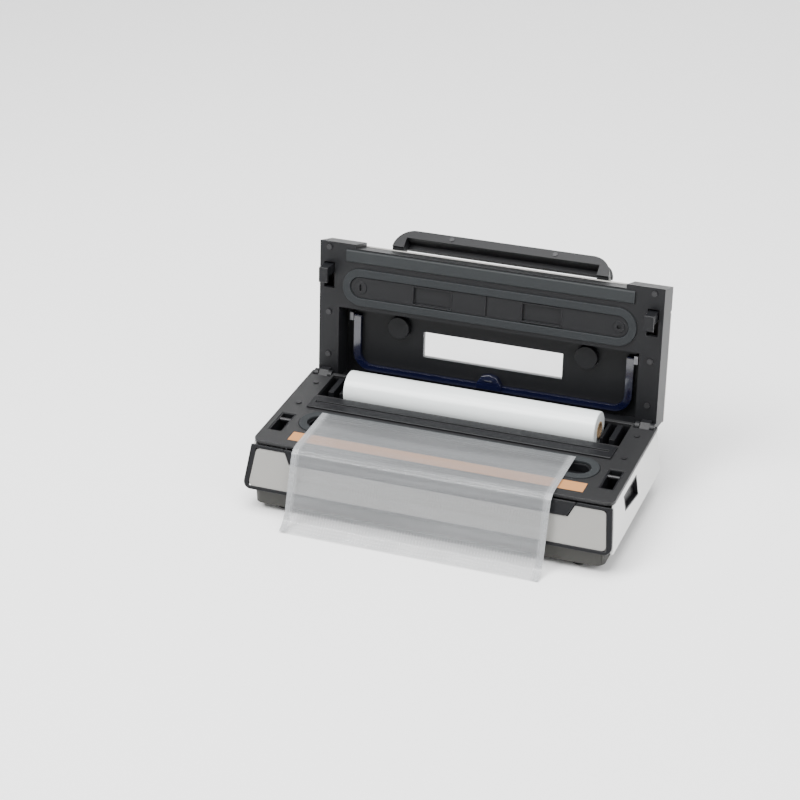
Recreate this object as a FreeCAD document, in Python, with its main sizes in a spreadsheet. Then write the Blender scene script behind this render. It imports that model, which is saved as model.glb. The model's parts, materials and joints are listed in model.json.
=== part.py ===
import FreeCAD, Part

import math
import os
import re

import Sketcher

# Countertop vacuum sealer, lid open. Millimetres, +Z up, +Y to the rear, +X to the right.
# While it is built, Y = 0 is the deck's front edge and Z = 0 is the table; at the end the whole
# model is slid along Y so that the origin is under the middle of its bounding box.
# Lid pieces are drawn closed, about the hinge axis, and the lid's placement swings them open.

doc = FreeCAD.newDocument("vacuum_sealer")
dims = doc.addObject("Spreadsheet::Sheet", "dims")
DIMENSIONS = {
    # base shell
    "body_width": 390, "side_flare": 5, "deck_depth": 158, "deck_height": 74, "deck_thick": 4,
    "wall": 2.5, "fit": 0.4, "corner_radius": 9, "foot_height": 8, "foot_radius": 8,
    "tray_height": 16, "tray_inset": 10, "front_lean": 20, "fascia_thick": 2, "frame_side": 6,
    "frame_edge": 3.5, "lip_half_top": "=body_width / 2 - 37", "lip_half_low": "=lip_half_top - 8",
    "lip_drop": 15, "lip_thick": 3.6,
    # vacuum trough and gaskets
    "gasket_y": "=deck_depth * 54 / 158", "gasket_half": "=body_width / 2 - 31", "gasket_outer": 21,
    "gasket_band": 9, "gasket_rise": 1.2, "gasket_sink": 2.6, "trough_depth": 13,
    # sealing line
    "seal_y": "=gasket_y - 34", "seal_half": "=body_width / 2 - 35", "tape_width": 17,
    "tape_thick": 0.4, "seal_block_depth": 9, "wire_width": 3, "press_width": 14,
    # bag roll, its bay and the film guide
    "bay_rear": "=deck_depth - 4.5", "bay_front": "=bay_rear - 2 * roll_radius - 6.5",
    "bay_half": "=body_width / 2 - 27",
    "bay_drop": 25, "roll_length": "=2 * bay_half - 56", "roll_radius": 19.5, "core_radius": 9,
    "core_wall": 1.6, "roll_lift": "=roll_radius - 18.5", "guide_y": "=gasket_y + gasket_outer + 4",
    "guide_width": "=bay_front - guide_y - 5", "guide_rise": 2.2, "groove_width": 4,
    # film
    "film_width": "=roll_length", "film_shift": 6, "film_thick": 0.5, "film_rear": "=gasket_y + 17",
    "film_reach": 50, "film_height": 1.3,
    # latches
    "hook_x": "=body_width / 2 - 15", "hook_width": 10, "hook_y": "=gasket_y - 11",
    "pocket_length": 38, "pocket_width": 16, "pocket_depth": 26, "hook_reach": 17,
    # lid
    "hinge_y": "=deck_depth - 1", "hinge_sink": 3, "lid_open": 98.8, "lid_width": "=body_width - 8",
    "lid_gap": 4, "lid_front": "=hinge_y - 11.5", "lid_slope": 6, "lid_rear": 6,
    "lid_thick": "=recess_depth + 4", "lid_face": 5, "skin_thick": 3,
    "ear_half": "=body_width / 2 - 45", "ear_rise": 4.5, "ear_y": "=latch_axis_y - 4.5",
    "recess_half": "=bay_half", "recess_front": "=hinge_y - gasket_y - gasket_outer - 4.5",
    "recess_depth": "=2 * roll_radius - 14", "window_half": "=boss_x - 27",
    "window_front": "=recess_front - 23", "window_rear": 25.5, "window_thick": 2.4,
    "boss_x": "=recess_half - 62", "boss_y": "=recess_front - 21", "boss_radius": 12.5,
    "boss_height": 7,
    # hinge
    "knuckle_radius": 6, "pin_radius": 2.5, "running_fit": 0.05, "hinge_leaf": 5, "side_gap": 0.4,
    # handle and its shaft
    "handle_half": 121, "handle_reach": 26.4, "handle_bar": 10, "handle_arm": 13,
    "handle_ahead": 10.4, "handle_behind": 8, "handle_split": 3, "handle_low": 3.8,
    "cover_low": 11, "handle_corner": 24, "handle_tilt": 40, "handle_axis_y": "=lid_front - 12",
    "handle_rise": 4.7, "handle_barrel": 4.2, "handle_pin": 2, "handle_screw_x": 58,
    "bracket_thick": 4.6, "latch_rise": 10, "latch_axis_y": "=hinge_y - hook_y + 6", "latch_shaft": 2.5,
    # cutter bail and slider
    "bail_half": "=recess_half - 14", "bail_axis_y": "=recess_front - 15",
    "bail_depth": "=recess_depth - 3.6", "bail_arm": "=bail_axis_y - 5", "bail_radius": 3,
    "bail_corner": 20, "bail_pin": 1.6,
    "slider_width": 28, "slider_height": 12,
    # controls
    "panel_half": 66, "panel_y": "=recess_front + 12.5", "panel_width": 13, "button_pitch": 30,
    "button_length": 18, "button_width": 8, "lamp_radius": 2,
    # side grips
    "grip_front": 34, "grip_rear": 78, "grip_top": 7, "grip_low": 24, "grip_fall": 6,
    "grip_deep": 3.5, "grip_wall": 2,
    # mains inlet
    "inlet_gap": "=deck_height - bay_drop - 2 - foot_height - tray_height", "inlet_x": 138,
    "inlet_z": "=foot_height + tray_height + 0.652 * inlet_gap", "inlet_half": 12,
    "inlet_high": "=0.304 * inlet_gap", "inlet_deep": 18,
    # works inside the base
    "motor_radius": 13, "motor_length": 52, "port_x": 100, "works_gap": 8,
    # screws
    "screw_radius": 3, "screw_head": 1.6,
}
for row, (word, size) in enumerate(DIMENSIONS.items(), start=1):
    dims.set(f"A{row}", word)
    dims.set(f"B{row}", str(size))
    dims.setAlias(f"B{row}", word)
doc.recompute()


def num(text):
    """The value of an expression on the sheet."""
    return float(dims.evalExpression(str(text)))


def bound(text):
    """The expression with the sheet's name in front of each alias."""
    return re.sub(r"[a-z_]+", lambda m: f"dims.{m[0]}" if m[0] in DIMENSIONS else m[0], str(text))


V = FreeCAD.Vector
X_AXIS, Y_AXIS, Z_AXIS = V(1, 0, 0), V(0, 1, 0), V(0, 0, 1)
SIDES = {"left": -1, "right": 1}
LEAN_HEIGHT = "(deck_height - foot_height - tray_height - 2)"
lean_angle = math.degrees(math.atan2(num("front_lean"), num(LEAN_HEIGHT)))
HINGE_Z = "(deck_height - hinge_sink)"
LID_FACE = "(lid_gap + hinge_sink)"          # lid's inner face, above the hinge axis when closed
LID_BACK = f"({LID_FACE} + lid_thick)"        # where the outer skin starts
FRAMES = {
    "base": FreeCAD.Placement(),
    "front": FreeCAD.Placement(V(0, 0, num("deck_height")), FreeCAD.Rotation(V(1, 0, 0), -lean_angle)),
    "lid": FreeCAD.Placement(V(0, num("hinge_y"), num(HINGE_Z)),
                             FreeCAD.Rotation(V(1, 0, 0), -num("lid_open"))),
}
pieces = []


def keep(feature, label, frame="base"):
    """Make a feature one of the model's named sub-parts, set in its frame."""
    feature.Label = label
    feature.Placement = FRAMES[frame].multiply(feature.Placement)
    pieces.append(feature)
    return feature


class Outline:
    """Profiles in one sketch, with every point tied to the sheet."""

    def __init__(self, sketch):
        self.sketch = sketch

    def tie(self, kind, *where, text):
        index = self.sketch.addConstraint(Sketcher.Constraint(kind, *where, num(text)))
        self.sketch.setExpression(f"Constraints[{index}]", bound(text))

    def pin(self, edge, end, x, y):
        self.tie("DistanceX", -1, 1, edge, end, text=x)
        self.tie("DistanceY", -1, 1, edge, end, text=y)

    def line(self, start, end):
        points = [V(num(x), num(y), 0) for x, y in (start, end)]
        edge = self.sketch.addGeometry(Part.LineSegment(*points))
        self.pin(edge, 1, *start)
        return edge

    def join(self, first, first_end, second, second_end):
        self.sketch.addConstraint(Sketcher.Constraint("Coincident", first, first_end, second, second_end))

    def polygon(self, *points):
        edges = [self.line(a, b) for a, b in zip(points, points[1:] + points[:1])]
        for a, b in zip(edges, edges[1:] + edges[:1]):
            self.join(a, 2, b, 1)

    def circle(self, x, y, radius):
        round_edge = Part.Circle(V(num(x), num(y), 0), V(0, 0, 1), num(radius))
        edge = self.sketch.addGeometry(round_edge)
        self.pin(edge, 3, x, y)
        self.tie("Radius", edge, text=radius)

    def slot(self, x, y, half, radius):
        """A stadium along X: half its overall length, and its end radius."""
        left, right = f"({x}) - ({half}) + ({radius})", f"({x}) + ({half}) - ({radius})"
        top, low = f"({y}) + ({radius})", f"({y}) - ({radius})"
        upper = self.line((left, top), (right, top))
        lower = self.line((right, low), (left, low))
        self.pin(upper, 2, right, top)
        self.pin(lower, 2, left, low)
        for centre, turn, start, end in ((right, -90, (lower, 1), (upper, 2)),
                                         (left, 90, (upper, 1), (lower, 2))):
            ring = Part.Circle(V(num(centre), num(y), 0), V(0, 0, 1), num(radius))
            arc = self.sketch.addGeometry(
                Part.ArcOfCircle(ring, math.radians(turn), math.radians(turn + 180)))
            self.join(arc, 1, *start)
            self.join(arc, 2, *end)
            self.tie("DistanceX", -1, 1, arc, 3, text=centre)


PLANES = {"XY": "XY_Plane", "XZ": "XZ_Plane", "YZ": "YZ_Plane"}


class Block:
    """A PartDesign body made of pads and pockets on its own origin planes."""

    def __init__(self, label, frame="base"):
        self.body = doc.addObject("PartDesign::Body", label)
        self.body.AllowCompound = True
        self.label, self.frame = label, frame

    def sketch(self, plane, start, *profiles):
        sketch = self.body.newObject("Sketcher::SketchObject", f"{self.label}_outline")
        origin = [f for f in self.body.Origin.OriginFeatures if f.Role == PLANES[plane]][0]
        sketch.AttachmentSupport = [(origin, "")]
        sketch.MapMode = "FlatFace"
        sketch.setExpression("AttachmentOffset.Base.z", bound(start))
        outline = Outline(sketch)
        for kind, *values in profiles:
            getattr(outline, kind)(*values)
        return sketch

    def pad(self, plane, start, length, *profiles):
        """Add material from start, along the plane's normal (XY +Z, XZ -Y, YZ +X)."""
        feature = self.body.newObject("PartDesign::Pad", f"{self.label}_pad")
        feature.Profile = self.sketch(plane, start, *profiles)
        feature.setExpression("Length", bound(length))
        doc.recompute()
        return self

    def cut(self, plane, start, length, *profiles):
        """Take material away from start, along the plane's normal."""
        before = self.body.Shape.Volume
        feature = self.body.newObject("PartDesign::Pocket", f"{self.label}_pocket")
        feature.Profile = self.sketch(plane, start, *profiles)
        feature.setExpression("Length", bound(length))
        feature.Reversed = True
        doc.recompute()
        if self.body.Shape.Volume > before - 1e-3:
            raise ValueError(f"a pocket of {self.label} cuts nothing")
        return self

    def round(self, radius, chosen):
        """Fillet the edges that the test picks."""
        shape = self.body.Shape
        names = [f"Edge{i}" for i, edge in enumerate(shape.Edges, start=1) if chosen(edge)]
        last = self.body.Tip
        feature = self.body.newObject("PartDesign::Fillet", f"{self.label}_fillet")
        feature.Base = (last, names)
        feature.setExpression("Radius", bound(radius))
        doc.recompute()
        return self

    def placed(self):
        """The body, set in its frame, for use in a group."""
        self.body.Placement = FRAMES[self.frame]
        return self.body

    def done(self):
        return keep(self.body, self.label, self.frame)


def along(axis, *tests):
    """Edge test: straight, parallel to an axis, and true for each test of its middle."""
    def chosen(edge):
        if len(edge.Vertexes) != 2 or edge.Curve.TypeId != "Part::GeomLine":
            return False
        way = edge.Vertexes[1].Point.sub(edge.Vertexes[0].Point).normalize()
        middle = edge.valueAt((edge.FirstParameter + edge.LastParameter) / 2)
        return abs(abs(way.dot(axis)) - 1) < 1e-6 and all(test(middle) for test in tests)
    return chosen


def rect(x0, y0, x1, y1):
    """A rectangle as a polygon profile."""
    return ("polygon", (x0, y0), (x1, y0), (x1, y1), (x0, y1))


def box(name, low, high):
    """A Part box between two corners, each a triple of expressions."""
    feature = doc.addObject("Part::Box", name)
    for side, a, b in zip(("Length", "Width", "Height"), low, high):
        feature.setExpression(side, bound(f"({b}) - ({a})"))
    feature.Placement.Base = V(*(num(a) for a in low))
    return feature


TURNS = {"X": FreeCAD.Rotation(V(0, 1, 0), 90), "Y": FreeCAD.Rotation(V(1, 0, 0), -90),
         "Z": FreeCAD.Rotation()}


def rod(name, start, axis, length, radius):
    """A Part cylinder from a start point along +X, +Y or +Z."""
    feature = doc.addObject("Part::Cylinder", name)
    feature.setExpression("Radius", bound(radius))
    feature.setExpression("Height", bound(length))
    feature.Placement = FreeCAD.Placement(V(*(num(a) for a in start)), TURNS[axis])
    return feature


def minus(name, base, tool):
    feature = doc.addObject("Part::Cut", name)
    feature.Base, feature.Tool = base, tool
    return feature


def plus(name, *parts):
    feature = doc.addObject("Part::MultiFuse", name)
    feature.Shapes = list(parts)
    return feature


def group(name, *parts):
    """Separate solids that share one node."""
    feature = doc.addObject("Part::Compound", name)
    feature.Links = list(parts)
    return feature


def tube(name, start, axis, length, outer, inner):
    """A bushing: a rod with a bore right through it."""
    return minus(name, rod(f"{name}_body", start, axis, length, outer),
                 rod(f"{name}_bore", start, axis, length, inner))


# ---------------------------------------------------------------- base: trays, deck and covers
TRAY_TOP = "(foot_height + tray_height)"
TRAY_HALF = "(body_width / 2 - tray_inset / 2)"
TRAY_FRONT = "(tray_inset / 2 - front_lean)"
base_tray = Block("base_tray")
base_tray.pad("XY", "foot_height", "tray_height",
              rect(f"-{TRAY_HALF}", TRAY_FRONT, TRAY_HALF, "deck_depth - wall"))
base_tray.round("corner_radius", along(Z_AXIS))
base_tray.cut("XY", "foot_height + wall", "tray_height",
              rect(f"wall - {TRAY_HALF}", f"{TRAY_FRONT} + wall", f"{TRAY_HALF} - wall",
                   "deck_depth - 2 * wall"))
base_tray.cut("XY", "foot_height - 1", "wall + 2",
              *[("slot", f"{x}", "110", "22", "1.6") for x in (-130, -78, 78, 130)])
BOARD_LOW = "20"
base_tray.pad("XY", "foot_height + 1", f"{BOARD_LOW} - foot_height - 1",
              *[("circle", f"{x}", f"{y}", "3") for x in (-64, 14) for y in (36, 94)])
base_tray.done()

FOOT_X, FOOT_FRONT, FOOT_REAR = "(body_width / 2 - 34)", f"({TRAY_FRONT} + 16)", "(deck_depth - 22)"
feet = [rod(f"foot_{i}", (f"{side} * {FOOT_X}", y, "0"), "Z", "foot_height", "foot_radius")
        for i, (side, y) in enumerate((s, y) for s in (-1, 1) for y in (FOOT_FRONT, FOOT_REAR))]
keep(group("feet", *feet), "feet")

DECK_LOW = "(deck_height - deck_thick)"
HALF = "(body_width / 2)"
POCKET_FRONT, POCKET_REAR = "(hook_y - pocket_length / 2)", "(hook_y + pocket_length / 2)"
KNUCKLE_IN, KNUCKLE_OUT = "(bay_half + wall + side_gap)", f"({HALF} - wall - side_gap)"
deck = Block("top_deck")
deck.pad("XY", DECK_LOW, "deck_thick", rect(f"-{HALF}", "0", HALF, "deck_depth"))
deck.round("corner_radius", along(Z_AXIS, lambda p: p.y < 1))
deck.round("1.6", along(Z_AXIS, lambda p: p.y > num("deck_depth") - 1))
deck.cut("XY", f"{DECK_LOW} - 1", "deck_thick + 2",
         ("slot", "0", "gasket_y", "gasket_half - gasket_band", "gasket_outer - gasket_band"))
deck.cut("XY", "deck_height - gasket_sink", "gasket_sink + 1",
         ("slot", "0", "gasket_y", "gasket_half", "gasket_outer"))
deck.cut("XY", f"{DECK_LOW} - 1", "deck_thick + 2",
         rect("-bay_half", "bay_front", "bay_half", "bay_rear"))
deck.cut("XY", f"{DECK_LOW} - 1", "deck_thick + 2",
         rect("-seal_half", "seal_y - tape_width / 2", "seal_half", "seal_y + tape_width / 2"))
for side in (-1, 1):
    deck.cut("XY", f"{DECK_LOW} - 1", "deck_thick + 2",
             rect(f"{side} * hook_x - pocket_width / 2", POCKET_FRONT,
                  f"{side} * hook_x + pocket_width / 2", POCKET_REAR))
    deck.cut("XY", f"{DECK_LOW} - 1", "deck_thick + 2",
             rect(f"{side} * {KNUCKLE_IN}", "hinge_y - knuckle_radius - 2",
                  f"{side} * {KNUCKLE_OUT}", "deck_depth + 1"))
deck.done()

lip = Block("front_lip", "front")
DECK_EDGE = "(deck_thick / cos(atan(front_lean / %s)) + fit)" % LEAN_HEIGHT
LIP = ("polygon", ("-lip_half_top", f"-{DECK_EDGE}"), ("-lip_half_low", f"-{DECK_EDGE} - lip_drop"),
       ("lip_half_low", f"-{DECK_EDGE} - lip_drop"), ("lip_half_top", f"-{DECK_EDGE}"))
LIP_SLOPE = "(lip_half_top - lip_half_low) / lip_drop"
HOLE_TOP = f"(lip_half_top + fit + {LIP_SLOPE} * ({DECK_EDGE} - deck_thick + 1))"
LIP_HOLE = ("polygon", (f"-{HOLE_TOP}", "1 - deck_thick"),
            ("-lip_half_low - 2 * fit", f"-{DECK_EDGE} - lip_drop - fit"),
            ("lip_half_low + 2 * fit", f"-{DECK_EDGE} - lip_drop - fit"), (HOLE_TOP, "1 - deck_thick"))
lip.pad("XZ", "-fascia_thick", "lip_thick", LIP)
lip.round("2.4", along(Y_AXIS, lambda p: p.z < -num(f"{DECK_EDGE} + lip_drop") + 1))
lip.done()

SLOPE = f"sqrt({LEAN_HEIGHT} * {LEAN_HEIGHT} + front_lean * front_lean)"
FASCIA_TOP, FASCIA_LOW = f"-({DECK_EDGE} + frame_edge)", f"-({SLOPE} - frame_edge)"
FASCIA = ("polygon", (f"-{HALF} + frame_side", FASCIA_TOP),
          (f"-{HALF} - side_flare + frame_side", FASCIA_LOW),
          (f"{HALF} + side_flare - frame_side", FASCIA_LOW), (f"{HALF} - frame_side", FASCIA_TOP))
FRAME = ("polygon", (f"-{HALF}", f"-{DECK_EDGE}"), (f"-{HALF} - side_flare", f"-{SLOPE}"),
         (f"{HALF} + side_flare", f"-{SLOPE}"), (f"{HALF}", f"-{DECK_EDGE}"))
fascia = Block("front_fascia", "front")
fascia.pad("XZ", "-fascia_thick", "fascia_thick", FASCIA)
fascia.round("5", along(Y_AXIS))
fascia.cut("XZ", "-2 * fascia_thick", "4 * fascia_thick", LIP_HOLE)
fascia.done()

frame = Block("fascia_frame", "front")
frame.pad("XZ", "-fascia_thick - 1", "fascia_thick + 1.8", FRAME)
frame.round("8", along(Y_AXIS, lambda p: p.z < num(FASCIA_LOW)))
frame.cut("XZ", "-2 * fascia_thick", "4 * fascia_thick", FASCIA)
frame.cut("XZ", "-2 * fascia_thick", "4 * fascia_thick", LIP_HOLE)
frame.done()

SIDE_THICK = 3
side_height = f"({DECK_LOW} - {TRAY_TOP} - fit)"
side_angle = math.degrees(math.atan2(num("side_flare"), num(side_height)))
SIDE_REAR = "(deck_depth - wall - fit)"
SIDE_FRONT = f"(4 + front_lean * {DECK_EDGE} / {LEAN_HEIGHT} - front_lean * deck_thick / {LEAN_HEIGHT})"


def grip_outline(inset):
    """The side grip's four corners, drawn in by an inset."""
    front, rear = f"(grip_front + {inset})", f"(grip_rear - {inset})"
    top = f"-(grip_top + {inset})"
    return ("polygon", (front, top), (front, f"-(grip_low - {inset})"),
            (rear, f"-(grip_low + grip_fall - {inset})"), (rear, top))


cups = []
for name, side in SIDES.items():
    FRAMES[name] = FreeCAD.Placement(V(side * num(HALF), 0, num(f"{DECK_LOW} - fit")),
                                     FreeCAD.Rotation(V(0, 1, 0), -side * side_angle))
    start = f"-{SIDE_THICK}" if side > 0 else "0"
    wing = Block(f"side_panel_{name}", name)
    wing.pad("YZ", start, SIDE_THICK,
             ("polygon", (SIDE_FRONT, "0"),
              (f"{SIDE_FRONT} - front_lean * {side_height} / {LEAN_HEIGHT}", f"-{side_height}"),
              (SIDE_REAR, f"-{side_height}"), (SIDE_REAR, "0")))
    wing.cut("YZ", f"{start} - 1", SIDE_THICK + 2, grip_outline("0"))
    wing.done()
    cup = Block(f"grip_cup_{name}", name)
    inward = f"(-{SIDE_THICK} - grip_deep)" if side > 0 else "0"
    cup.pad("YZ", inward, f"{SIDE_THICK} + grip_deep", grip_outline("fit / 4"))
    cup.cut("YZ", f"{inward} + grip_wall" if side > 0 else f"{inward} - 1",
            f"{SIDE_THICK} + grip_deep - grip_wall + 1", grip_outline("grip_wall"))
    cups.append(cup.placed())
keep(group("side_grips", *cups), "side_grips")

rear = Block("rear_cover")
REAR_HALF = f"({HALF} - {SIDE_THICK} - fit)"
rear.pad("XZ", "-deck_depth", "wall",
         rect(f"-{REAR_HALF}", TRAY_TOP, REAR_HALF, f"{DECK_LOW} - fit"))
INLET = ("-inlet_x - inlet_half", "inlet_z - inlet_high", "-inlet_x + inlet_half", "inlet_z + inlet_high")
rear.cut("XZ", "-deck_depth - 1", "wall + 2", rect(*INLET))
rear.cut("XZ", "-deck_depth - 1", "wall + 2",
         *[("slot", "100", f"{z}", "34", "1.5") for z in (34, 40, 46, 52)])
for side in (-1, 1):
    rear.cut("XZ", "-deck_depth - 1", "wall + 2",
             rect(f"{side} * ({KNUCKLE_IN} - fit)", f"{HINGE_Z} - knuckle_radius - 1.5",
                  f"{side} * ({KNUCKLE_OUT} + fit)", "deck_height"))
rear.done()

# the mains inlet, a flush two-pin socket in the rear cover, with no lead in it
inlet = Block("inlet_body")
inlet.pad("XZ", "-deck_depth", "inlet_deep",
          rect(*[f"{edge} {sign} fit / 2" for edge, sign in zip(INLET, "++--")]))
inlet.cut("XZ", "-deck_depth - 1", "inlet_deep - 5",
          ("slot", "-inlet_x", "inlet_z", "9", "inlet_high - 2.4"))
pins = [rod(f"inlet_pin_{side}", (f"{side} * 4 - inlet_x", "deck_depth - 13.5", "inlet_z"), "Y", "10",
            "1.2") for side in (-1, 1)]
keep(group("mains_inlet", inlet.placed(), *pins), "mains_inlet")

# ---------------------------------------------------------------- sealing line, trough and gaskets
SEAL_FRONT, SEAL_REAR = "(seal_y - tape_width / 2 + fit / 2)", "(seal_y + tape_width / 2 - fit / 2)"
SEAL_END = "(seal_half - fit / 2)"
block = Block("seal_block")
block.pad("XY", "deck_height - seal_block_depth", "seal_block_depth - 1",
          rect(f"-{SEAL_END}", SEAL_FRONT, SEAL_END, SEAL_REAR))
block.cut("XY", "deck_height - 1.5", "2",
          rect(f"-{SEAL_END} + 4", "seal_y - wire_width / 2", f"{SEAL_END} - 4",
               "seal_y + wire_width / 2"))
block.done()
keep(box("heating_wire", (f"-{SEAL_END} + 4.2", "seal_y - wire_width / 2 + 0.1", "deck_height - 1.5"),
         (f"{SEAL_END} - 4.2", "seal_y + wire_width / 2 - 0.1", "deck_height - 1.1")), "heating_wire")
keep(box("seal_tape", (f"-{SEAL_END}", SEAL_FRONT, "deck_height - 0.6"),
         (SEAL_END, SEAL_REAR, "deck_height - 0.6 + tape_thick")), "seal_tape")

ring = Block("lower_gasket")
RING_OUT = ("slot", "0", "gasket_y", "gasket_half - fit / 2", "gasket_outer - fit / 2")
RING_IN = ("slot", "0", "gasket_y", "gasket_half - gasket_band", "gasket_outer - gasket_band")
ring.pad("XY", "deck_height - gasket_sink", "gasket_sink + gasket_rise", RING_OUT)
ring.cut("XY", "deck_height - gasket_sink - 1", "gasket_sink + gasket_rise + 2", RING_IN)
ring.done()

trough = Block("vacuum_trough")
TROUGH_LOW = "(deck_height - trough_depth)"
TROUGH_HALF, TROUGH_RADIUS = ("(gasket_half - gasket_band - fit / 2)",
                              "(gasket_outer - gasket_band - fit / 2)")
trough.pad("XY", TROUGH_LOW, "trough_depth - gasket_sink",
           ("slot", "0", "gasket_y", TROUGH_HALF, TROUGH_RADIUS))
trough.cut("XY", f"{TROUGH_LOW} + 1.8", "trough_depth",
           ("slot", "0", "gasket_y", f"{TROUGH_HALF} - 1.8", f"{TROUGH_RADIUS} - 1.8"))
trough.pad("XY", f"{TROUGH_LOW} - 8", "8.5", ("circle", "port_x", "gasket_y", "3.1"))
trough.cut("XY", f"{TROUGH_LOW} - 9", "12", ("circle", "port_x", "gasket_y", "1.8"))
trough.done()

guide = Block("film_guide")
guide.pad("XY", "deck_height", "guide_rise", rect("-bay_half", "guide_y", "bay_half",
                                                  "guide_y + guide_width"))
guide.round("1", along(X_AXIS, lambda p: p.z > num("deck_height") + 1))
guide.cut("XY", "deck_height + 0.4", "guide_rise",
          rect("-bay_half + 6", "guide_y + guide_width / 2 - groove_width / 2", "bay_half - 6",
               "guide_y + guide_width / 2 + groove_width / 2"))
guide.done()

# ---------------------------------------------------------------- roll bay and bag roll
BAY_LOW = "(deck_height - bay_drop)"
bay = Block("roll_bay")
bay.pad("XY", f"{BAY_LOW} - 2", "bay_drop + 2 - deck_thick",
        rect("-bay_half - 2", "bay_front - 2", "bay_half + 2", "bay_rear + 1.6"))
bay.cut("XY", BAY_LOW, "bay_drop + 2", rect("-bay_half", "bay_front", "bay_half", "bay_rear"))
bay.done()
ROLL_Y, ROLL_Z = "((bay_front + bay_rear) / 2)", "(deck_height + roll_lift)"
ROLL_END = "(roll_length / 2)"
holders = []
for name, side in SIDES.items():
    low, high = sorted((f"{side} * ({ROLL_END} - 18)", f"{side} * ({ROLL_END} - 10)"), key=num)
    holders.append(minus(f"saddle_{name}",
                         box(f"saddle_block_{name}", (low, f"{ROLL_Y} - 15", BAY_LOW),
                             (high, f"{ROLL_Y} + 15", f"{ROLL_Z} - roll_radius * 0.7")),
                         rod(f"saddle_hollow_{name}", (f"{low} - 1", ROLL_Y, ROLL_Z), "X", "12",
                             "roll_radius + 0.4")))
    for i, (near, far) in enumerate((("4", "7"), ("14", "20"))):
        a, b = sorted((f"{side} * ({ROLL_END} + {near})", f"{side} * ({ROLL_END} + {far})"), key=num)
        holders.append(box(f"rib_{name}_{i}", (a, f"{ROLL_Y} - 12", BAY_LOW),
                           (b, "bay_rear - 3", "deck_height - 1")))
keep(group("roll_holders", *holders), "roll_holders")
keep(tube("bag_roll", (f"-{ROLL_END}", ROLL_Y, ROLL_Z), "X", "roll_length", "roll_radius",
          "core_radius"), "bag_roll")
keep(tube("roll_core", (f"-{ROLL_END} - 0.5", ROLL_Y, ROLL_Z), "X", "roll_length + 1", "core_radius",
          "core_radius - core_wall"), "roll_core")


def bent_sheet(points, thick, x0, width):
    """A sheet of even thickness: a bent line in the YZ plane, thickened on its left, swept along X."""
    normals = []
    for (y0, z0), (y1, z1) in zip(points, points[1:]):
        run = math.hypot(y1 - y0, z1 - z0)
        normals.append(((z0 - z1) / run, (y1 - y0) / run))
    ends = [normals[0]] + normals, normals + [normals[-1]]
    outer = []
    for (y, z), (ay, az), (by, bz) in zip(points, *ends):
        share = thick / (1 + ay * by + az * bz)
        outer.append((y + (ay + by) * share, z + (az + bz) * share))
    loop = [V(x0, y, z) for y, z in points + outer[::-1]]
    return Part.Face(Part.makePolygon(loop + loop[:1])).extrude(V(width, 0, 0))


# a bag's film laid over the seal line and hanging over the front to the table
film_top = num("deck_height + film_height + film_thick")
slope_y = num("front_lean") / num(LEAN_HEIGHT)
film_line = [(num("film_rear"), film_top), (-4.5, film_top), (-10, film_top - 5),
             (-10 - slope_y * (film_top - 21), 16), (-num("film_reach"), num("film_thick") + 0.2)]
bag_film = doc.addObject("Part::Feature", "bag_film")
bag_film.Shape = bent_sheet(film_line, num("film_thick"), -num("film_width / 2 + film_shift"),
                            num("film_width"))
keep(bag_film, "bag_film")

# ---------------------------------------------------------------- latch pockets and catches
pockets, catches = [], []
for name, side in SIDES.items():
    x0 = f"({side} * hook_x - pocket_width / 2 + fit / 2)"
    x1 = f"({side} * hook_x + pocket_width / 2 - fit / 2)"
    pocket = Block(f"pocket_{name}")
    pocket.pad("XY", "deck_height - pocket_depth", "pocket_depth - 0.5",
               rect(x0, f"{POCKET_FRONT} + fit / 2", x1, f"{POCKET_REAR} - fit / 2"))
    pocket.cut("XY", "deck_height - pocket_depth + 1.5", "pocket_depth",
               rect(f"{x0} + 1.5", f"{POCKET_FRONT} + 1.7", f"{x1} - 1.5", f"{POCKET_REAR} - 1.7"))
    pockets.append(pocket.placed())
    catches.append(rod(f"catch_bar_{name}", (f"{x0} + 1.5", "hinge_y - latch_axis_y + 14.5",
                                             f"{HINGE_Z} + {LID_FACE} + latch_rise - 16.5"), "X",
                       "pocket_width - fit - 3", "2"))
keep(group("latch_pockets", *pockets), "latch_pockets")
keep(group("catch_bars", *catches), "catch_bars")

# ---------------------------------------------------------------- hinges on the base
brackets, hinge_pins = [], []
for name, side in SIDES.items():
    ears = []
    for i, (a, b) in enumerate(((f"{KNUCKLE_IN} + fit", f"{KNUCKLE_IN} + hinge_leaf"),
                                (f"{KNUCKLE_OUT} - hinge_leaf", f"{KNUCKLE_OUT} - fit"))):
        low, high = sorted((f"{side} * ({a})", f"{side} * ({b})"), key=num)
        ears += [box(f"ear_post_{name}_{i}", (low, "hinge_y - 5", f"{HINGE_Z} - 16"),
                     (high, "hinge_y - 2", HINGE_Z)),
                 rod(f"ear_eye_{name}_{i}", (low, "hinge_y", HINGE_Z), "X", f"({high}) - ({low})",
                     "knuckle_radius - 0.5")]
    low, high = sorted((f"{side} * ({KNUCKLE_IN} + fit)", f"{side} * ({KNUCKLE_OUT} - fit)"), key=num)
    plate = box(f"hinge_plate_{name}", (low, "hinge_y - 5", f"{HINGE_Z} - 19"),
                (high, "hinge_y - 2", f"{HINGE_Z} - 16"))
    bore = rod(f"hinge_bore_{name}", (f"{low} - 1", "hinge_y", HINGE_Z), "X",
               f"({high}) - ({low}) + 2", "pin_radius")
    brackets.append(minus(f"hinge_bracket_{name}", plus(f"hinge_ears_{name}", plate, *ears), bore))
    hinge_pins.append(rod(f"hinge_pin_{name}", (low, "hinge_y", HINGE_Z), "X",
                          f"({high}) - ({low})", "pin_radius"))
keep(group("hinge_brackets", *brackets), "hinge_brackets")
keep(group("hinge_pins", *hinge_pins), "hinge_pins")

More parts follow.
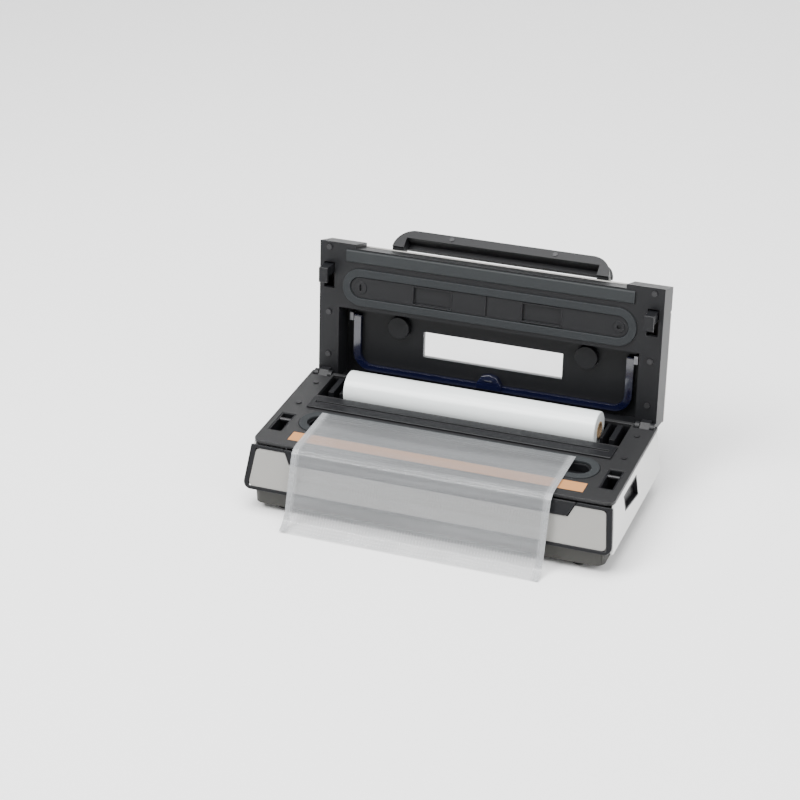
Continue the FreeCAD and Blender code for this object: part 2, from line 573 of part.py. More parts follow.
# ---------------------------------------------------------------- works inside the base
FLOOR = "(foot_height + wall)"
PUMP_TOP = f"({TROUGH_LOW} - works_gap - 1)"
MOTOR_Z = f"({TROUGH_LOW} - works_gap - motor_radius)"
keep(rod("pump_motor", ("port_x - 64", "gasket_y + 6", MOTOR_Z), "X", "motor_length", "motor_radius"),
     "pump_motor")
keep(box("pump_head", ("port_x - 11.5", "gasket_y - 8", f"{PUMP_TOP} - 25"),
         ("port_x + 24", "gasket_y + 20", PUMP_TOP)), "pump_head")
keep(group("pump_mount", box("mount_left", ("port_x - 56", "gasket_y - 2", FLOOR),
                             ("port_x - 50", "gasket_y + 14", f"{MOTOR_Z} - motor_radius - 0.4")),
           box("mount_right", ("port_x - 8", "gasket_y - 4", FLOOR),
               ("port_x + 20", "gasket_y + 16", f"{PUMP_TOP} - 25.4"))), "pump_mount")
keep(tube("vacuum_hose", ("port_x", "gasket_y", f"{PUMP_TOP} + 0.2"), "Z",
          f"{TROUGH_LOW} - {PUMP_TOP} - 0.4", "4.8", "3.15"), "vacuum_hose")
CORE_Y, CORE_TOP = "(bay_front - 50)", f"({TROUGH_LOW} - 17)"
core = box("transformer_core", ("-128", f"{CORE_Y} - 22", FLOOR), ("-84", f"{CORE_Y} + 22", CORE_TOP))
coil_walls = [box(f"coil_{i}", (x0, f"{CORE_Y} + {y0}", z0), (x1, f"{CORE_Y} + {y1}", z1))
              for i, (x0, x1, y0, y1, z0, z1) in enumerate((
                  ("-124", "-88", "-32", "-22.2", "15", f"{CORE_TOP} - 4"),
                  ("-124", "-88", "22.2", "32", "15", f"{CORE_TOP} - 4"),
                  ("-116", "-96", "-32", "32", f"{CORE_TOP} + 0.2", f"{CORE_TOP} + 6"),
                  ("-116", "-96", "-32", "-22.2", f"{CORE_TOP} - 5", f"{CORE_TOP} + 1"),
                  ("-116", "-96", "22.2", "32", f"{CORE_TOP} - 5", f"{CORE_TOP} + 1")))]
keep(group("transformer", core, plus("transformer_coil", *coil_walls)), "transformer")
BOARD_TOP = f"({BOARD_LOW} + 1.6)"
keep(box("power_board", ("-70", "30", BOARD_LOW), ("20", "100", BOARD_TOP)), "power_board")
keep(group("board_parts", rod("cap_a", ("-52", "50", f"{BOARD_TOP} + 0.2"), "Z", "22", "7"),
           rod("cap_b", ("-34", "50", f"{BOARD_TOP} + 0.2"), "Z", "18", "5"),
           box("relay", ("-20", "44", f"{BOARD_TOP} + 0.2"), ("0", "60", f"{BOARD_TOP} + 14")),
           box("heat_sink", ("-58", "74", f"{BOARD_TOP} + 0.2"), ("-20", "80", f"{BOARD_TOP} + 22"))),
     "board_parts")
keep(box("lid_switch", ("6 - hook_x", "bay_front - 24", "deck_height - 18"),
         ("14 - hook_x", "bay_front - 4", f"{DECK_LOW} - fit")), "lid_switch")

# ---------------------------------------------------------------- lid, drawn closed about its hinge
LID_HALF = "(lid_width / 2)"
FACE, BACK, SKIN = LID_FACE, LID_BACK, f"({LID_BACK} + skin_thick)"
RECESS_FLOOR = f"({FACE} + recess_depth)"
RING_Y = "(gasket_y - hinge_y)"
PRESS_Y = "(seal_y - hinge_y)"


def sloped(front, rear, top):
    """The lid's section: an upright rear edge and a front edge that slopes back as it rises."""
    shift = f"lid_slope * ({top} - {FACE}) / lid_thick"
    return ("polygon", (f"-({front})", FACE), (f"-({rear})", FACE), (f"-({rear})", top),
            (f"-({front}) + {shift}", top))


shell = Block("lid_inner_frame", "lid")
shell.pad("YZ", f"-{LID_HALF}", "lid_width", sloped("lid_front", "-lid_rear", BACK))
for start in (f"-{LID_HALF}", "ear_half"):
    shell.pad("YZ", start, f"{LID_HALF} - ear_half", sloped("lid_front + ear_rise", "ear_y", SKIN))
shell.round("3", along(Z_AXIS, lambda p: abs(p.x) > num(LID_HALF) - 1))
shell.cut("XY", f"{FACE} + lid_face", "lid_thick + skin_thick",
          rect(f"wall - {LID_HALF}", f"-ear_y + wall", f"{LID_HALF} - wall", "-recess_front - wall"))
shell.cut("XY", f"{FACE} + lid_face", "lid_thick - lid_face + 1",
          rect("wall - ear_half", "-lid_front + lid_slope + wall", "ear_half - wall",
               f"-ear_y + wall + 1"))
for side in (-1, 1):
    shell.cut("XY", f"{FACE} + lid_face", "lid_thick - lid_face + skin_thick - wall",
              rect(f"{side} * (ear_half + wall)", "-lid_front - ear_rise + lid_slope + wall + 1",
                   f"{side} * ({LID_HALF} - wall)", f"-ear_y + wall + 1"))
    shell.cut("XY", f"{FACE} + lid_face", "lid_thick",
              rect(f"{side} * (recess_half + wall)", "-recess_front - wall - 1",
                   f"{side} * ({LID_HALF} - wall)", "lid_rear - wall"))
    shell.cut("XY", f"{FACE} - 1", "lid_face + 2",
              rect(f"{side} * (hook_x - hook_width / 2 - 1)", "-latch_axis_y - 7",
                   f"{side} * (hook_x + hook_width / 2 + 1)", "-latch_axis_y + 22"))
shell.cut("XY", f"{FACE} - 1", "recess_depth + 1",
          rect("-recess_half", "-recess_front", "recess_half", "lid_rear - wall"))
shell.cut("XY", f"{RECESS_FLOOR} - 1", "lid_thick",
          rect("-window_half", "-window_front", "window_half", "-window_rear"))
shell.cut("XY", f"{FACE} - 1", "gasket_sink + 1",
          ("slot", "0", RING_Y, "gasket_half", "gasket_outer"))
shell.cut("XY", f"{FACE} - 1", "gasket_sink + 1",
          rect("-seal_half", f"{PRESS_Y} - press_width / 2", "seal_half",
               f"{PRESS_Y} + press_width / 2"))
for side in (-1, 1):
    a, b = sorted((f"{side} * ({KNUCKLE_IN} + hinge_leaf + side_gap)",
                   f"{side} * ({KNUCKLE_OUT} - hinge_leaf - side_gap)"), key=num)
    shell.pad("YZ", a, f"({b}) - ({a})",
              ("polygon", ("-knuckle_radius + 0.5", "0"), ("0", "-knuckle_radius + 0.5"),
               ("knuckle_radius - 0.5", "0"), ("lid_rear", FACE), ("-knuckle_radius", FACE)))
    shell.cut("YZ", f"({a}) - 1", f"({b}) - ({a}) + 2", ("circle", "0", "0", "pin_radius + running_fit"))
shell.cut("YZ", "-hook_x - hook_width / 2 - 0.5", "2 * hook_x + hook_width + 1",
          ("circle", "-latch_axis_y", f"{FACE} + latch_rise", "latch_shaft + running_fit"))
shell.done()

skin = Block("lid_outer_cover", "lid")
EAR_IN, EAR_BACK = "(ear_half - fit)", f"(-ear_y + fit)"
SKIN_FRONT = "(-lid_front + lid_slope - 0.6)"
skin.pad("XY", f"{BACK} + 0.05", "skin_thick",
         ("polygon", (f"-{EAR_IN}", SKIN_FRONT), (EAR_IN, SKIN_FRONT), (EAR_IN, EAR_BACK),
          (LID_HALF, EAR_BACK), (LID_HALF, "lid_rear"), (f"-{LID_HALF}", "lid_rear"),
          (f"-{LID_HALF}", EAR_BACK), (f"-{EAR_IN}", EAR_BACK)))
skin.round("2", along(X_AXIS, lambda p: p.z > num(SKIN) and p.y > 0))
skin.cut("XY", f"{BACK} - 1", "skin_thick + 2",
         rect("-window_half", "-window_front", "window_half", "-window_rear"))
skin.cut("XY", f"{BACK} - 1", "skin_thick + 2",
         rect("-panel_half", "-panel_y - panel_width / 2", "panel_half",
              "-panel_y + panel_width / 2"))
skin.done()

pane = Block("window_pane", "lid")
pane.pad("XY", f"{RECESS_FLOOR} + 1", "window_thick",
         rect("-window_half + fit / 4", "-window_front + fit / 4", "window_half - fit / 4",
              "-window_rear - fit / 4"))
pane.done()

upper = Block("upper_gasket", "lid")
upper.pad("XY", f"{FACE} - 2", "gasket_sink + 2", ("slot", "0", RING_Y, "gasket_half - fit / 2",
                                                  "gasket_outer - fit / 2"))
upper.cut("XY", f"{FACE} - 3", "gasket_sink + 4", ("slot", "0", RING_Y, "gasket_half - gasket_band",
                                                  "gasket_outer - gasket_band"))
upper.done()

press = Block("press_bar", "lid")
press.pad("XY", f"{FACE} - 2", "gasket_sink + 2",
          rect("-seal_half + fit / 2", f"{PRESS_Y} - press_width / 2 + fit / 2",
               "seal_half - fit / 2", f"{PRESS_Y} + press_width / 2 - fit / 2"))
press.round("1.8", along(X_AXIS, lambda p: p.z < num(FACE)))
press.done()

panel = Block("chamber_panel", "lid")
CHAMBER = ("gasket_half - gasket_band - fit", "gasket_outer - gasket_band - fit")
panel.pad("XY", f"{FACE} - 0.3", "gasket_sink + 0.3", ("slot", "0", RING_Y, *CHAMBER))
RIM, POCKET_REACH = "1.4", "(gasket_outer - gasket_band - fit - 2.1)"
RIM_REACH = f"({POCKET_REACH} + {RIM})"
for low, high in (("-82", "-40"), ("40", "82")):
    panel.pad("XY", f"{FACE} - 1", "1", rect(f"{low} - {RIM}", f"{RING_Y} - {RIM_REACH}",
                                             f"{high} + {RIM}", f"{RING_Y} + {RIM_REACH}"))
    panel.cut("XY", f"{FACE} - 2", "gasket_sink + 1.4",
              rect(low, f"{RING_Y} - {POCKET_REACH}", high, f"{RING_Y} + {POCKET_REACH}"))
panel.cut("XY", f"{FACE} - 1", "1.9", rect("-0.6", f"{RING_Y} - {RIM_REACH}", "0.6",
                                           f"{RING_Y} + {RIM_REACH}"))
SLOT_X, PORT_END = "(21 - gasket_half)", "(gasket_half - 19)"
panel.pad("XY", f"{FACE} - 1.2", "1.2", ("circle", SLOT_X, RING_Y, "7"), ("circle", PORT_END, RING_Y, "6"))
panel.cut("XY", f"{FACE} - 2", "3",
          rect(f"{SLOT_X} - 1", f"{RING_Y} - 3.5", f"{SLOT_X} + 1", f"{RING_Y} + 3.5"))
panel.cut("XY", f"{FACE} - 2", "3", ("circle", PORT_END, RING_Y, "2.4"))
panel.done()

keep(group("roll_bumpers", *[rod(f"roll_bumper_{name}", (f"{side} * boss_x", "-boss_y",
                                                         f"{RECESS_FLOOR} - boss_height"),
                                 "Z", "boss_height", "boss_radius") for name, side in SIDES.items()]),
     "roll_bumpers", "lid")

SCREW_PLACES = [(f"{s} * hook_x", y) for s in (-1, 1)
                for y in ("1.5 - lid_front", "7 - recess_front", "-22")]
screws = [rod(f"lid_screw_{i}", (x, y, f"{FACE} - screw_head"), "Z", "screw_head", "screw_radius")
          for i, (x, y) in enumerate(SCREW_PLACES)]
keep(group("lid_screws", *screws), "lid_screws", "lid")
screws = [rod(f"deck_screw_{name}_{row}", (f"{side} * hook_x", y, "deck_height"), "Z", "1.2",
              "screw_radius")
          for name, side in SIDES.items() for row, y in (("front", "hook_y + 43"), ("rear", "hinge_y - 25"))]
keep(group("deck_screws", *screws), "deck_screws")

# ---------------------------------------------------------------- controls on the outer cover
strip = Block("control_panel", "lid")
STRIP_LOW = f"({BACK} + 0.5)"
BUTTONS = {"vacuum_button": -1, "seal_button": 0, "stop_button": 1}
LAMPS = (-54, 54)
strip.pad("XY", STRIP_LOW, "skin_thick + 0.3",
          rect("-panel_half + fit / 2", "-panel_y - panel_width / 2 + fit / 2",
               "panel_half - fit / 2", "-panel_y + panel_width / 2 - fit / 2"))
for place in BUTTONS.values():
    x = f"({place} * button_pitch)"
    strip.cut("XY", f"{BACK} - 1", "skin_thick + 4",
              rect(f"{x} - button_length / 2 - fit", "-panel_y - button_width / 2 - fit",
                   f"{x} + button_length / 2 + fit", "-panel_y + button_width / 2 + fit"))
strip.cut("XY", f"{BACK} - 1", "skin_thick + 4",
          *[("circle", f"{x}", "-panel_y", "lamp_radius") for x in LAMPS])
strip.done()
for name, place in BUTTONS.items():
    x = f"({place} * button_pitch)"
    key = Block(name, "lid")
    key.pad("XY", f"{SKIN} - 3.2", "5", rect(f"{x} - button_length / 2", "-panel_y - button_width / 2",
                                            f"{x} + button_length / 2", "-panel_y + button_width / 2"))
    key.round("2.5", along(Z_AXIS))
    key.round("0.8", lambda e: e.BoundBox.ZMin > num(f"{SKIN} + 1.7"))
    key.done()
keep(group("indicator_lamps", *[rod(f"lamp_{i}", (f"{x}", "-panel_y", f"{BACK} - 2"), "Z", "6",
                                    "lamp_radius - 0.02") for i, x in enumerate(LAMPS)]),
     "indicator_lamps", "lid")
board_z = f"({SKIN} - 12)"
switches = [rod(f"key_switch_{i}", (f"{place} * button_pitch", "-panel_y", f"{board_z} + 1.6"), "Z",
                "5", "3") for i, place in enumerate(BUTTONS.values())]
keep(plus("control_board", box("board_plate", ("-62", "-panel_y - 5.5", board_z),
                               ("62", "-panel_y + 5.5", f"{board_z} + 1.6")), *switches),
     "control_board", "lid")

# ---------------------------------------------------------------- handle, drawn upright on its axis
FRAMES["handle"] = FRAMES["lid"].multiply(FreeCAD.Placement(
    V(0, -num("handle_axis_y"), num(f"{SKIN} + handle_rise")),
    FreeCAD.Rotation(V(1, 0, 0), num("handle_tilt"))))
grip = Block("handle_grip", "handle")
grip.pad("XZ", "-handle_split", "handle_split + handle_ahead",
         rect("-handle_half", "handle_low", "handle_half", "handle_reach"))
grip.round("min(handle_corner; handle_reach - handle_low - 0.5)",
           along(Y_AXIS, lambda p: p.z > num("handle_reach") - 1))
grip.cut("XZ", "-handle_split - 1", "handle_split + handle_ahead + 2",
         rect("handle_arm - handle_half", "handle_low - 1", "handle_half - handle_arm",
              "handle_reach - handle_bar"))
for side in (-1, 1):
    arm = min((f"{side} * handle_half", f"{side} * (handle_half - handle_arm)"), key=num)
    grip.pad("YZ", arm, "handle_arm", ("circle", "0", "0", "handle_barrel"))
    grip.pad("YZ", arm, "handle_arm",
             ("polygon", ("handle_split", "handle_low + 2"), ("handle_split", "0"),
              ("-3", "-2.5"), ("-9", "handle_low + 0.7")))
    grip.cut("YZ", f"{arm} - 1", "handle_arm + 2", ("circle", "0", "0", "handle_pin + running_fit"))
grip.done()
rear_shell = Block("handle_cover", "handle")
rear_shell.pad("XZ", "-handle_behind", "handle_behind - handle_split - 0.05",
               rect("-handle_half", "cover_low", "handle_half", "handle_reach"))
rear_shell.round("handle_reach - cover_low - 0.5",
                 along(Y_AXIS, lambda p: p.z > num("handle_reach") - 1))
rear_shell.done()
keep(group("handle_screws", *[rod(f"handle_screw_{side}", (f"{side} * handle_screw_x",
                                                           "-handle_ahead - 0.8",
                                                           "handle_reach - handle_bar / 2"), "Y", "0.8",
                                  "screw_radius - 0.5") for side in (-1, 1)]), "handle_screws", "handle")
AXLE_Y, AXLE_Z = "-handle_axis_y", f"({SKIN} + handle_rise)"
lugs, pins = [], []
for name, side in SIDES.items():
    low, high = sorted((f"{side} * (handle_half + fit)", f"{side} * (handle_half + bracket_thick)"),
                       key=num)
    lug = plus(f"lug_{name}", box(f"lug_post_{name}", (low, f"{AXLE_Y} - handle_barrel", f"{SKIN} + 0.1"),
                                  (high, f"{AXLE_Y} + handle_barrel", AXLE_Z)),
               rod(f"lug_eye_{name}", (low, AXLE_Y, AXLE_Z), "X", f"({high}) - ({low})", "handle_barrel"))
    lugs.append(minus(f"handle_bracket_{name}", lug,
                      rod(f"lug_bore_{name}", (f"{low} - 1", AXLE_Y, AXLE_Z), "X",
                          f"({high}) - ({low}) + 2", "handle_pin")))
    low, high = sorted((f"{side} * (handle_half - handle_arm)", f"{side} * (handle_half + bracket_thick)"),
                       key=num)
    pins.append(rod(f"handle_pin_{name}", (low, AXLE_Y, AXLE_Z), "X", f"({high}) - ({low})",
                    "handle_pin"))
keep(group("handle_pivots", *lugs, *pins), "handle_pivots", "lid")

# ---------------------------------------------------------------- latch shaft and hooks
LATCH_Y, LATCH_Z = "-latch_axis_y", f"({FACE} + latch_rise)"
keep(rod("latch_shaft", (f"-hook_x - hook_width / 2", LATCH_Y, LATCH_Z), "X", "2 * hook_x + hook_width",
         "latch_shaft"), "latch_shaft", "lid")
for name, side in SIDES.items():
    hook = Block(f"latch_hook_{name}", "lid")
    hook.pad("YZ", f"{side} * hook_x - hook_width / 2", "hook_width",
             ("polygon", (f"{LATCH_Y} - 5", f"{LATCH_Z} + 4"), (f"{LATCH_Y} + 5", f"{LATCH_Z} + 4"),
              (f"{LATCH_Y} + 5", f"{FACE} - hook_reach + 4"),
              (f"{LATCH_Y} + 12", f"{FACE} - hook_reach + 4"),
              (f"{LATCH_Y} + 12", f"{FACE} - hook_reach"), (f"{LATCH_Y} - 5", f"{FACE} - hook_reach")))
    hook.round("1.2", along(X_AXIS))
    hook.cut("YZ", f"{side} * hook_x - hook_width / 2 - 1", "hook_width + 2",
             ("circle", LATCH_Y, LATCH_Z, "latch_shaft + 0.02"))
    hook.done()

# ---------------------------------------------------------------- cutter bail and its slider
BAIL_Z = f"({FACE} + bail_depth)"
BAIL_Y = "-bail_axis_y"
BAIL_OUT, BAIL_IN = "(bail_half + 4)", "(bail_half - 4)"
BAIL_END = f"({BAIL_Y} + bail_arm)"
bail = Block("cutter_bail", "lid")
bail.pad("XY", f"{BAIL_Z} - 2.5", "5", rect(f"-{BAIL_OUT}", f"{BAIL_Y} - 2.6", BAIL_OUT,
                                          f"{BAIL_END} + bail_radius"))
bail.round("bail_corner", along(Z_AXIS, lambda p: p.y > -20))
bail.cut("XY", f"{BAIL_Z} - 3.5", "7", rect(f"-{BAIL_IN}", f"{BAIL_Y} - 5", BAIL_IN,
                                          f"{BAIL_END} - bail_radius"))
bail.round("bail_corner - 6", along(Z_AXIS, lambda p: abs(p.x) < num(BAIL_IN) + 0.1 and p.y > -20))
bail.round("2.4", along(X_AXIS, lambda p: p.y < num(BAIL_Y)))
for side in (-1, 1):
    bail.cut("YZ", f"{side} * bail_half - 5", "10", ("circle", BAIL_Y, BAIL_Z, "bail_pin + running_fit"))
bail.done()
lugs, pins = [], []
for name, side in SIDES.items():
    low, high = sorted((f"{side} * ({BAIL_IN} + 1)", f"{side} * ({BAIL_OUT} + 4.5)"), key=num)
    pins.append(rod(f"bail_pin_{name}", (low, BAIL_Y, BAIL_Z), "X", f"({high}) - ({low})", "bail_pin"))
    low = min((f"{side} * ({BAIL_OUT} + fit)", f"{side} * ({BAIL_OUT} + 4.5)"), key=num)
    lugs.append(minus(f"bail_bracket_{name}",
                      box(f"bail_lug_{name}", (low, f"{BAIL_Y} - 4.5", f"{BAIL_Z} - 4"),
                          (f"{low} + 4.5 - fit", f"{BAIL_Y} + 4.5", RECESS_FLOOR)),
                      rod(f"bail_bore_{name}", (f"{low} - 1", BAIL_Y, BAIL_Z), "X", "8",
                          "bail_pin")))
keep(group("bail_pivots", *lugs, *pins), "bail_pivots", "lid")

BAR_TOP = f"({BAIL_END} - bail_radius)"
slider = Block("cutter_slider", "lid")
slider.pad("XY", f"{BAIL_Z} - 5", "7.3",
           ("polygon", ("-slider_width / 2", f"{BAIL_END} + 2"), ("-slider_width / 2", f"{BAR_TOP} - 1"),
            ("-slider_width / 3.2", f"{BAR_TOP} - slider_height * 0.8"),
            ("0", f"{BAR_TOP} - slider_height"),
            ("slider_width / 3.2", f"{BAR_TOP} - slider_height * 0.8"),
            ("slider_width / 2", f"{BAR_TOP} - 1"), ("slider_width / 2", f"{BAIL_END} + 2")))
slider.cut("XY", f"{BAIL_Z} - 2.8", "8", rect("-slider_width", f"{BAR_TOP} - 0.3", "slider_width",
                                             f"{BAIL_END} + 5"))
slider.done()
keep(box("cutter_blade", ("-4", f"{BAR_TOP} - 6", f"{BAIL_Z} - 6.2"), ("4", f"{BAR_TOP} - 5.4",
                                                                   f"{BAIL_Z} - 5")), "cutter_blade", "lid")

# ---------------------------------------------------------------- centre the model, check and write
doc.recompute()
extents = FreeCAD.BoundBox()
for piece in pieces:
    extents.add(piece.Shape.BoundBox)
middle = V(-extents.Center.x, -extents.Center.y, -extents.ZMin)
for piece in pieces:
    piece.Placement.Base = piece.Placement.Base + middle
doc.recompute()
for item in doc.Objects:
    if any(word in item.State for word in ("Invalid", "Error")):
        raise ValueError(f"{item.Label} did not build")
os.makedirs("parts", exist_ok=True)
for piece in pieces:
    if piece.Shape.isNull() or not piece.Shape.isValid() or not piece.Shape.Solids:
        raise ValueError(f"{piece.Label} is not a sound solid")
    piece.Shape.exportStep(f"parts/{piece.Label}.step")
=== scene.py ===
"""Looks of a household vacuum sealer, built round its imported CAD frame.

The lid stands open, a bag roll lies in its bay, and the first bag's film is drawn over the seal line and
down to the table. All sizes are in metres, in the frame's own axes: +X right, +Y to the hinge, +Z up.
"""

import json
import logging
import math
from collections.abc import Callable
from dataclasses import dataclass
from enum import Enum
from functools import cache

import bmesh
import bpy
import numpy as np
from mathutils import Matrix, Vector

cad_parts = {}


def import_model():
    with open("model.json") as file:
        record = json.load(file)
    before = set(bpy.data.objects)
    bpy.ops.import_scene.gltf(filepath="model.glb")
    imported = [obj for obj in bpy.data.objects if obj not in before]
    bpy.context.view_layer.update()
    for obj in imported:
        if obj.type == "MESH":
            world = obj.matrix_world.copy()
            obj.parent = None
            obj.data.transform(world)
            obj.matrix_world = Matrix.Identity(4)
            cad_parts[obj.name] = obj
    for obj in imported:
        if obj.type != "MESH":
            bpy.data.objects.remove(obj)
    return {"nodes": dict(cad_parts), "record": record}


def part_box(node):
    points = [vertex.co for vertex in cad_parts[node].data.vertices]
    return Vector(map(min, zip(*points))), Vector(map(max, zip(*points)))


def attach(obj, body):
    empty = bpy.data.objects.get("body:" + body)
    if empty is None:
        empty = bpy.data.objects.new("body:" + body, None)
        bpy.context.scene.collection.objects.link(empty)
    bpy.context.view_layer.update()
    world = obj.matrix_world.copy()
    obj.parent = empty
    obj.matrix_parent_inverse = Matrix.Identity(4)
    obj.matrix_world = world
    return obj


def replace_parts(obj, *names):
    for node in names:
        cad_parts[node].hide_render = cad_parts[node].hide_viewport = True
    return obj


LOG = logging.getLogger("vacuum_sealer")
MM = 0.001

# How much a see-through finish covers, as shares of its alpha: everywhere, and more on its pattern.
COVER_LEAST, COVER_PATTERN = 0.45, 1.1

# Gloss of the plain plastics and of the metals and lacquers, roughness of lacquer, how strongly a
# pattern bumps, and how much rougher its low places are.
PLASTIC_GLOSS, BRIGHT_GLOSS, LACQUER_ROUGH, BUMP, LOW_ROUGH = 0.25, 0.5, 0.08, 0.6, 0.35

# Round a corner, faces smaller than this share of the widest one don't turn its normal.
SMALL_FACE = 0.25

# A copied CAD mesh: points closer than this are one, faces within the first angle are one flat, and
# edges over the second are rounded. The angles are in degrees.
MERGE_WITHIN, FLAT_WITHIN, SHARP_OVER = 2e-6, 1.5, 38

# Sizes of the even patterns, in cells or bands to the metre, and the film's shares of embossed grid and
# of creases.
FOAM_CELLS, WEAVE_BANDS, EMBOSS_BANDS = 900.0, 420.0, 95.0
EMBOSS_SHARE, CREASE_SHARE = 0.3, 0.7

# The lamps face a point this far behind the deck's front edge, and this far over the table.
TARGET_BEHIND, TARGET_HEIGHT = 0.07, 0.074

# Faces are put in order along this slant, which hardly any two of them share.
FACE_ORDER = Vector((1.0, 0.6180, 0.3820))


class Pattern(Enum):
    """How a surface varies from place to place."""

    MOULDED = "moulded"
    GLOSSY = "glossy"
    BRUSHED = "brushed"
    FOAM = "foam"
    WOVEN = "woven"
    FILM = "film"
    WOUND = "wound"
    CARD = "card"


@dataclass(frozen=True)
class Cloud:
    """Cloudy noise.

    Args:
        scale: clouds to the metre.
        detail: how many finer layers it has.
        stretch: how often it varies along each axis, against the others.
    """

    scale: float
    detail: float
    stretch: tuple[float, float, float] = (1, 1, 1)


CREASES = Cloud(60, 4, (0.12, 1.5, 0.6))
CLOUDS: dict[Pattern, Cloud] = {
    Pattern.MOULDED: Cloud(1400, 2),
    Pattern.GLOSSY: Cloud(12, 2),
    Pattern.BRUSHED: Cloud(300, 4, (0.05, 3, 3)),
    Pattern.WOUND: Cloud(40, 3, (1, 6, 6)),
    Pattern.CARD: Cloud(500, 5),
}


@dataclass(frozen=True)
class Finish:
    """One kind of surface.

    Args:
        colour: linear base colour.
        rough: roughness, before the pattern varies it.
        pattern: the pattern that varies it.
        metal: metallic share.
        coat: clear coat weight.
        alpha: how solid it is.
        relief: height of the pattern's bumps, in metres.
        spread: how far the pattern darkens the colour.
    """

    colour: tuple[float, float, float]
    rough: float
    pattern: Pattern = Pattern.MOULDED
    metal: float = 0.0
    coat: float = 0.0
    alpha: float = 1.0
    relief: float = 0.00004
    spread: float = 0.12


FINISHES: dict[str, Finish] = {
    "black_plastic": Finish((0.0075, 0.0078, 0.0090), 0.42),
    "deck_plastic": Finish((0.019, 0.0192, 0.0200), 0.38),
    "silver_paint": Finish((0.30, 0.295, 0.28), 0.42, metal=0.3, relief=0.00001, spread=0.05),
    "white_shell": Finish((0.70, 0.70, 0.69), 0.30, relief=0.00001, spread=0.04),
    "grey_tray": Finish((0.035, 0.0345, 0.031), 0.5),
    "gasket_foam": Finish((0.020, 0.0225, 0.0245), 0.72, Pattern.FOAM, relief=0.00012, spread=0.2),
    "press_rubber": Finish((0.020, 0.0225, 0.0240), 0.55, Pattern.FOAM, relief=0.00004),
    "foot_rubber": Finish((0.010, 0.010, 0.010), 0.8, Pattern.FOAM),
    "hose_rubber": Finish((0.03, 0.03, 0.03), 0.6),
    "seal_tape": Finish((0.50, 0.235, 0.09), 0.5, Pattern.WOVEN, relief=0.00006, spread=0.25),
    "steel": Finish((0.24, 0.24, 0.25), 0.34, Pattern.BRUSHED, metal=1.0, spread=0.2),
    "dark_steel": Finish((0.03, 0.03, 0.032), 0.38, Pattern.BRUSHED, metal=0.5, spread=0.2),
    "bright_steel": Finish((0.62, 0.62, 0.63), 0.16, Pattern.BRUSHED, metal=1.0, spread=0.1),
    "blue_black_gloss": Finish((0.004, 0.005, 0.020), 0.12, Pattern.GLOSSY, coat=0.7, spread=0.05),
    "clear_pane": Finish((0.88, 0.92, 0.94), 0.04, Pattern.GLOSSY, alpha=0.12, relief=0.0),
    "bag_film": Finish((0.36, 0.37, 0.38), 0.24, Pattern.FILM, coat=0.2, alpha=0.25, relief=0.00012),
    "roll_film": Finish((0.80, 0.84, 0.84), 0.28, Pattern.WOUND, coat=0.4, relief=0.00006, spread=0.1),
    "card": Finish((0.36, 0.25, 0.15), 0.75, Pattern.CARD, relief=0.00008, spread=0.3),
    "board_green": Finish((0.02, 0.13, 0.05), 0.35, Pattern.CARD, spread=0.2),
    "part_black": Finish((0.008, 0.008, 0.010), 0.4),
    "motor_steel": Finish((0.42, 0.42, 0.43), 0.35, Pattern.BRUSHED, metal=1.0, spread=0.2),
    "core_iron": Finish((0.10, 0.10, 0.11), 0.55, Pattern.BRUSHED, metal=0.8, spread=0.3),
    "button_grey": Finish((0.20, 0.21, 0.22), 0.35),
    "lamp_green": Finish((0.05, 0.50, 0.12), 0.2, Pattern.GLOSSY, coat=0.5),
    "floor_white": Finish((0.95, 0.95, 0.95), 0.6, relief=0.0, spread=0.0),
}


class Shader:
    """Short names for adding and joining shader nodes in one tree."""

    def __init__(self, tree: bpy.types.NodeTree) -> None:
        """Work on the given tree."""
        self.tree = tree

    def add(self, kind: str, **values: object) -> bpy.types.Node:
        """Add a node and set its sockets by name, or its own settings.

        Args:
            kind: the node type.
            values: socket names in words_with_underscores, or the node's attributes.

        Returns:
            The new node.
        """
        node = self.tree.nodes.new(kind)
        for name, value in values.items():
            if hasattr(node, name):
                setattr(node, name, value)
            else:
                node.inputs[name.replace("_", " ")].default_value = value
        return node

    def join(self, start: bpy.types.NodeSocket, end: bpy.types.NodeSocket) -> None:
        """Join an output to an input."""
        self.tree.links.new(start, end)

    def sums(self, operation: str, first: object, second: object = 0.0) -> bpy.types.NodeSocket:
        """Add a maths node on sockets or numbers.

        Args:
            operation: what it does, in Blender's own word.
            first: a socket or a number.
            second: a socket or a number.

        Returns:
            The result's socket.
        """
        node = self.tree.nodes.new("ShaderNodeMath")
        node.operation = operation
        for socket, value in zip(node.inputs, (first, second)):
            if isinstance(value, bpy.types.NodeSocket):
                self.join(value, socket)
            else:
                socket.default_value = value
        return node.outputs[0]


